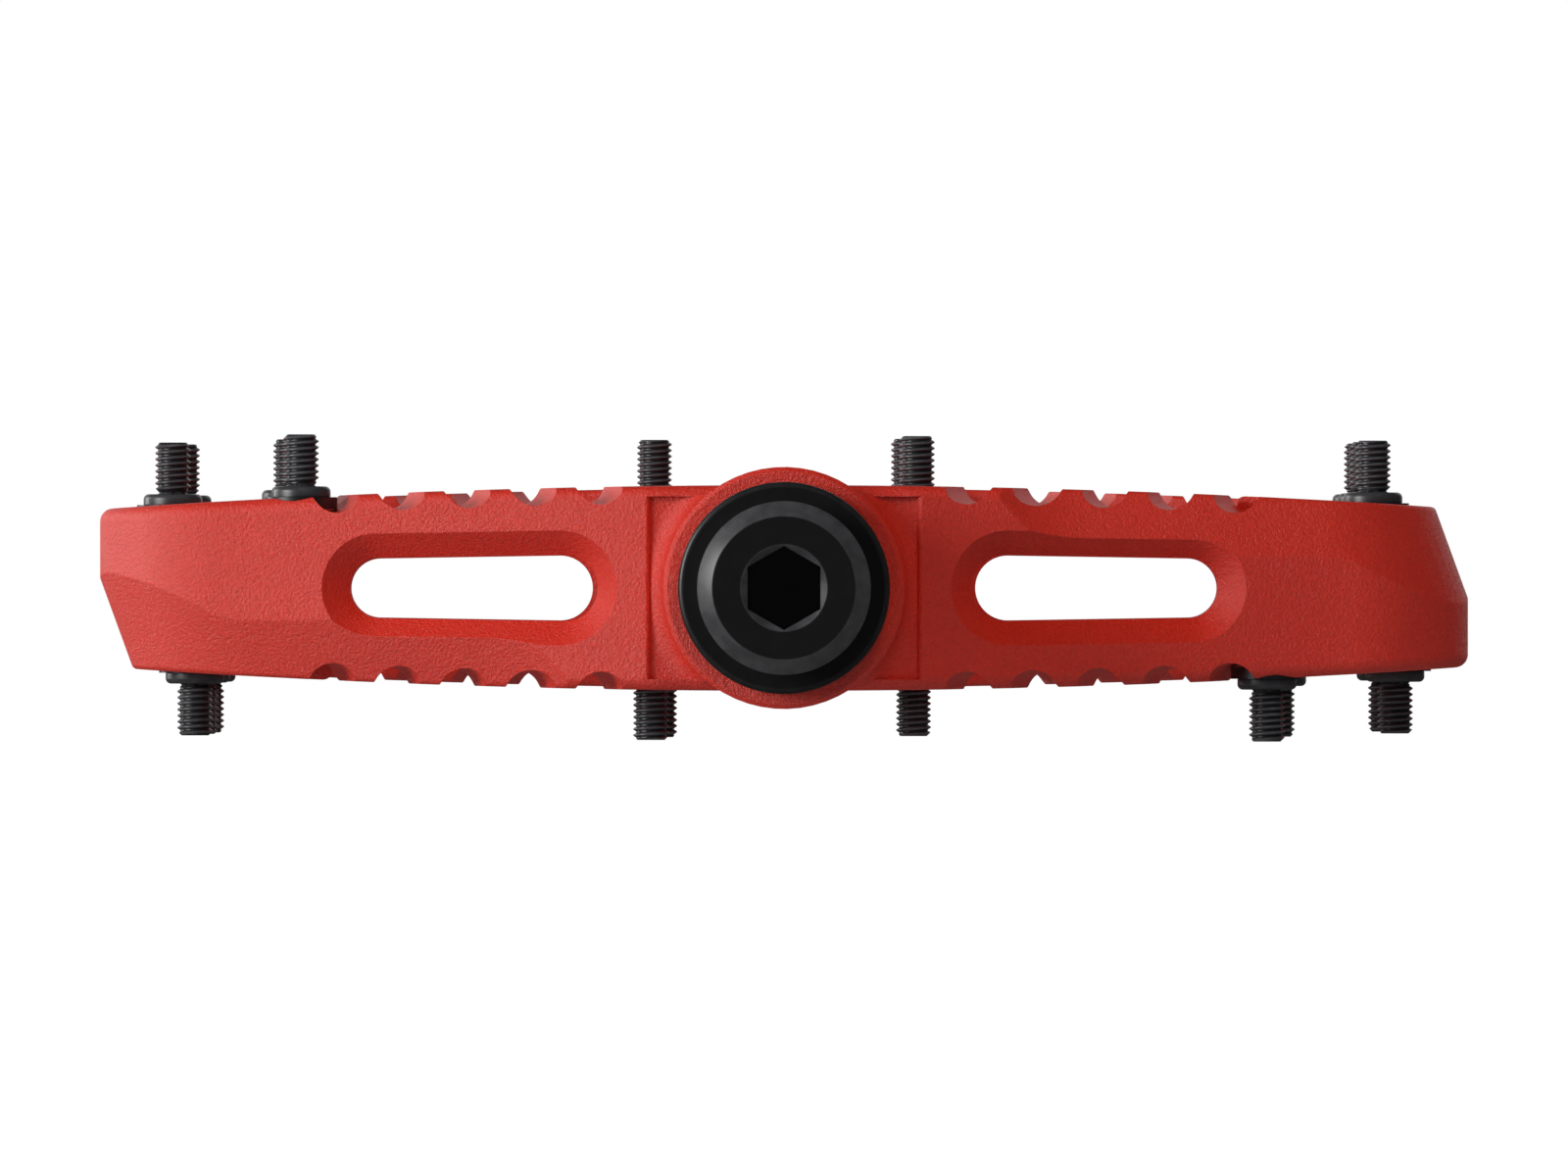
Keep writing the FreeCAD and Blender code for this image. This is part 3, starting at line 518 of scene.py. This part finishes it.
def anodised_red():
    """Bead-blasted aluminium under a red anodised layer."""
    deep = rgb(0.60, 0.013, 0.0006)
    bright = rgb(0.80, 0.020, 0.0015)
    finish = Finish("anodised_red_finish", Metallic=0.0, IOR=1.80)
    blast = finish.grain(0.26, detail=3.0, roughness=0.7)
    speckle = finish.grain(0.12, detail=1.0)
    cloud = finish.grain(9.0, detail=2.0)
    fine_tone = finish.span(blast, -0.5, 0.5, *NOISE_RANGE)
    broad_tone = finish.span(cloud, -0.12, 0.12, *NOISE_RANGE)
    tone = finish.math("ADD", fine_tone, broad_tone)
    finish.set("Base Color", finish.blend(finish.span(tone, 0.0, 1.0, -0.6, 0.6), deep, bright))
    finish.set("Roughness", finish.span(speckle, 0.42, 0.56, *NOISE_RANGE))
    smooth = finish.soft_edges(0.10)
    coarse = finish.relief(blast, depth_mm=0.16, strength=1.0, normal=smooth)
    finish.set("Normal", finish.relief(speckle, depth_mm=0.04, strength=0.8, normal=coarse))
    return finish.material


def black_oxide(name, base, paler_wear_and_highlight, roughness, turned):
    """Blackened steel: fine tool marks, and paler metal on edges and crests, partly rubbed wear and partly
    a painted highlight.
    """
    finish = Finish(name, Metallic=0.0, IOR=1.6)
    marks = finish.turning(0.05) if turned else finish.grain(0.08, detail=3.0)
    patch = finish.grain(1.2, detail=4.0)
    least_pale_share = 0.6
    uneven = finish.span(patch, least_pale_share, 1.0, *PATCH_RANGE)
    # Crests and edges are painted towards the paler colour: partly rubbed wear, partly a painted highlight.
    rubbed_and_highlit = finish.math("MULTIPLY", finish.attribute("wear_and_highlight"), uneven)
    finish.set("Base Color", finish.blend(rubbed_and_highlit, base, paler_wear_and_highlight))
    finish.set("Roughness", finish.span(patch, roughness - 0.02, roughness + 0.03, *NOISE_RANGE))
    finish.set("Normal", finish.relief(marks, depth_mm=0.004, strength=0.2))
    return finish.material


def machined_steel(name, colour, roughness, mark_mm):
    """Bare steel with turning marks and a faint stain."""
    finish = Finish(name, Metallic=1.0)
    marks = finish.turning(mark_mm)
    stain = finish.grain(2.5, detail=4.0)
    stain_share = 0.72
    dull = tuple(channel * stain_share for channel in colour[:3]) + (1.0,)
    finish.set("Base Color", finish.blend(finish.span(stain, 0.0, 1.0, *PATCH_RANGE), colour, dull))
    finish.set("Roughness", finish.span(marks, roughness - 0.06, roughness + 0.1, *NOISE_RANGE))
    finish.set("Normal", finish.relief(marks, depth_mm=0.01, strength=0.3))
    return finish.material


def moulded(name, colour, roughness, grain_mm):
    """Moulded rubber or polymer with a fine skin grain."""
    finish = Finish(name, Metallic=0.0, IOR=1.5)
    skin = finish.grain(grain_mm, detail=3.0)
    cloud = finish.grain(3.0, detail=2.0)
    paler = tuple(min(1.0, channel * 1.35 + 0.003) for channel in colour[:3]) + (1.0,)
    finish.set("Base Color", finish.blend(finish.span(cloud, 0.0, 1.0, *NOISE_RANGE), colour, paler))
    finish.set("Roughness", finish.span(skin, roughness - 0.08, roughness + 0.08, *NOISE_RANGE))
    finish.set("Normal", finish.relief(skin, depth_mm=0.02, strength=0.3))
    return finish.material


def floor_finish():
    """Plain pale studio floor."""
    finish = Finish("floor_finish", Roughness=0.8)
    cloud = finish.grain(160.0, detail=2.0)
    finish.set("Base Color", finish.blend(cloud, rgb(0.58, 0.58, 0.58), rgb(0.62, 0.62, 0.62)))
    nodes, links = finish.tree.nodes, finish.tree.links
    path = finish.node("ShaderNodeLightPath")
    glow = finish.node("ShaderNodeEmission", {"Color": rgb(1, 1, 1)})
    spread = finish.node("ShaderNodeVectorMath", {0: finish.place}, operation="LENGTH").outputs["Value"]
    level = finish.span(spread, NEAR_GLOW, FAR_GLOW, NEAR_RADIUS, FAR_RADIUS)
    links.new(finish.math("MULTIPLY", path.outputs["Is Camera Ray"], level), glow.inputs["Strength"])
    both = finish.node("ShaderNodeAddShader", {0: finish.shader.outputs["BSDF"],
                                               1: glow.outputs["Emission"]})
    links.new(both.outputs["Shader"], nodes["Material Output"].inputs["Surface"])
    return finish.material


# ------------------------------------------------------------------ stage
FLOOR_SIZE = 8.0
FLOOR_CLEARANCE = 0.003
# Glow that the camera sees on the floor: weaker round the pedal, so that its shadow shows there.
NEAR_GLOW = 0.80
FAR_GLOW = 1.0
NEAR_RADIUS = 0.18
FAR_RADIUS = 0.60
AMBIENT = 0.17
AMBIENT_GLOSS = 0.05               # what reflections see of the room
CAMERA_DISTANCE = 3.321
CAMERA_LENS = 924.7
SENSOR = 36.0
CLIP_NEAR = 0.1
CLIP_FAR = 50.0
TARGET = Vector((0.0, 0.057, 0.0))


def stage_floor():
    """Flat floor below the pedal, out of reach of the platform when it turns on its spindle."""
    z = -hypot(CAD_HIGH.x, CAD_HIGH.z) - FLOOR_CLEARANCE
    half = FLOOR_SIZE / 2
    mesh = bpy.data.meshes.new("studio_floor")
    corners = [(-half, -half, z), (half, -half, z), (half, half, z), (-half, half, z)]
    mesh.from_pydata(corners, [], [(0, 1, 2, 3)])
    mesh.materials.append(floor_finish())
    floor = bpy.data.objects.new("studio_floor", mesh)
    bpy.context.scene.collection.objects.link(floor)
    floor.visible_glossy = False


def softbox(name, azimuth, elevation, distance, width, height, power):
    """Area light aimed at the pedal; azimuth 0 is the camera's side and 90 the leading side."""
    lamp = bpy.data.lights.new(name, "AREA")
    lamp.shape = "RECTANGLE"
    lamp.size = width
    lamp.size_y = height
    lamp.energy = power
    turn, rise = radians(azimuth), radians(elevation)
    offset = Vector((-sin(turn) * cos(rise), -cos(turn) * cos(rise), sin(rise))) * distance
    light = bpy.data.objects.new(name, lamp)
    light.location = TARGET + offset
    light.rotation_euler = (-offset).to_track_quat("-Z", "Y").to_euler()
    bpy.context.scene.collection.objects.link(light)
    return light


def studio_world():
    """White behind the object for the camera, and a dim even room for everything else."""
    world = bpy.data.worlds.new("studio")
    world.use_nodes = True
    bpy.context.scene.world = world
    tree = world.node_tree
    tree.nodes.clear()
    path = tree.nodes.new("ShaderNodeLightPath")
    room = tree.nodes.new("ShaderNodeBackground")
    room.inputs["Color"].default_value = rgb(1, 1, 1)
    shade = tree.nodes.new("ShaderNodeMapRange")
    shade.inputs["To Min"].default_value = AMBIENT
    shade.inputs["To Max"].default_value = AMBIENT_GLOSS
    tree.links.new(path.outputs["Is Glossy Ray"], shade.inputs["Value"])
    tree.links.new(shade.outputs["Result"], room.inputs["Strength"])
    backdrop = tree.nodes.new("ShaderNodeBackground")
    backdrop.inputs["Color"].default_value = rgb(1, 1, 1)
    backdrop.inputs["Strength"].default_value = 1.0
    mixer = tree.nodes.new("ShaderNodeMixShader")
    output = tree.nodes.new("ShaderNodeOutputWorld")
    tree.links.new(path.outputs["Is Camera Ray"], mixer.inputs["Fac"])
    tree.links.new(room.outputs["Background"], mixer.inputs[1])
    tree.links.new(backdrop.outputs["Background"], mixer.inputs[2])
    tree.links.new(mixer.outputs["Shader"], output.inputs["Surface"])


def studio_camera():
    data = bpy.data.cameras.new("camera")
    data.lens = CAMERA_LENS
    data.sensor_width = SENSOR
    data.clip_start = CLIP_NEAR
    data.clip_end = CLIP_FAR
    camera = bpy.data.objects.new("camera", data)
    camera.location = (0.0, -CAMERA_DISTANCE, 0.0)
    camera.rotation_euler = (pi / 2, 0.0, 0.0)
    bpy.context.scene.collection.objects.link(camera)
    bpy.context.scene.camera = camera


# ------------------------------------------------------------------ assembly
def paint(node_name, material):
    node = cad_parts[node_name]
    for slot in node.material_slots:
        slot.material = material


def add_piece(piece, material, body, node_name):
    piece.data.materials.append(material)
    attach(piece, body)
    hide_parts(node_name)


def build():
    studio_camera()
    studio_world()
    stage_floor()
    softbox("key_light", azimuth=57, elevation=13, distance=0.9, width=0.40, height=0.40, power=5.2)
    softbox("rim_light", azimuth=118, elevation=10, distance=0.9, width=0.30, height=0.40, power=2.4)
    fill = softbox("fill_light", azimuth=-16, elevation=45, distance=0.9, width=0.40, height=0.40,
                   power=2.3)
    fill.visible_glossy = False
    backdrop = softbox("back_light", azimuth=180, elevation=14, distance=1.3, width=1.6, height=0.7,
                       power=3.0)
    backdrop.visible_camera = False

    paint("pedal_body", anodised_red())
    # The paler colours of the black steels stand for wear and for a painted highlight on edges and crests.
    spindle_black = black_oxide("spindle_black_finish", base=rgb(0.003, 0.003, 0.0034),
                                paler_wear_and_highlight=rgb(0.07, 0.07, 0.075), roughness=0.40, turned=True)
    pin_black = black_oxide("pin_black_finish", base=rgb(0.010, 0.010, 0.011),
                            paler_wear_and_highlight=rgb(0.09, 0.09, 0.10), roughness=0.36, turned=False)
    add_piece(solid_object("spindle_threaded", [spindle_shell()]), spindle_black, "spindle", "spindle")
    for face in ("top", "bottom"):
        add_piece(flanged_pins(face), pin_black, "platform", "flanged_pins_" + face)
        add_piece(axle_pins(face), pin_black, "platform", "axle_pins_" + face)
        paint("pin_washers_" + face, pin_black)

    bright = machined_steel("bright_steel_finish", rgb(0.56, 0.56, 0.57), roughness=0.28, mark_mm=0.06)
    for name in ("bearing_spacer", "axle_washer", "axle_nut"):
        paint(name, bright)
    spring = machined_steel("spring_steel_finish", rgb(0.20, 0.20, 0.22), roughness=0.35, mark_mm=0.08)
    paint("retaining_ring", spring)
    chrome = machined_steel("bearing_steel_finish", rgb(0.62, 0.62, 0.63), roughness=0.14, mark_mm=0.03)
    cage = moulded("cage_polymer_finish", rgb(0.42, 0.33, 0.20), roughness=0.45, grain_mm=0.15)
    shield = moulded("shield_rubber_finish", rgb(0.015, 0.015, 0.016), roughness=0.5, grain_mm=0.12)
    for number in (1, 2, 3):
        label = "bearing_%d_" % number
        for part in ("outer_race", "inner_race", "balls"):
            paint(label + part, chrome)
        paint(label + "cage", cage)
        paint(label + "shields", shield)
    seal = moulded("seal_rubber_finish", rgb(0.012, 0.012, 0.012), roughness=0.6, grain_mm=0.10)
    paint("inboard_seal", seal)
    paint("end_cap_o_ring", seal)
    bushing = moulded("bushing_polymer_finish", rgb(0.30, 0.24, 0.12), roughness=0.4, grain_mm=0.20)
    paint("plain_bushing", bushing)
    cap_black = black_oxide("cap_black_finish", base=rgb(0.012, 0.012, 0.013),
                            paler_wear_and_highlight=rgb(0.05, 0.05, 0.05), roughness=0.4, turned=True)
    paint("end_cap", cap_black)


build()
bpy.context.scene.view_settings.view_transform = "Standard"
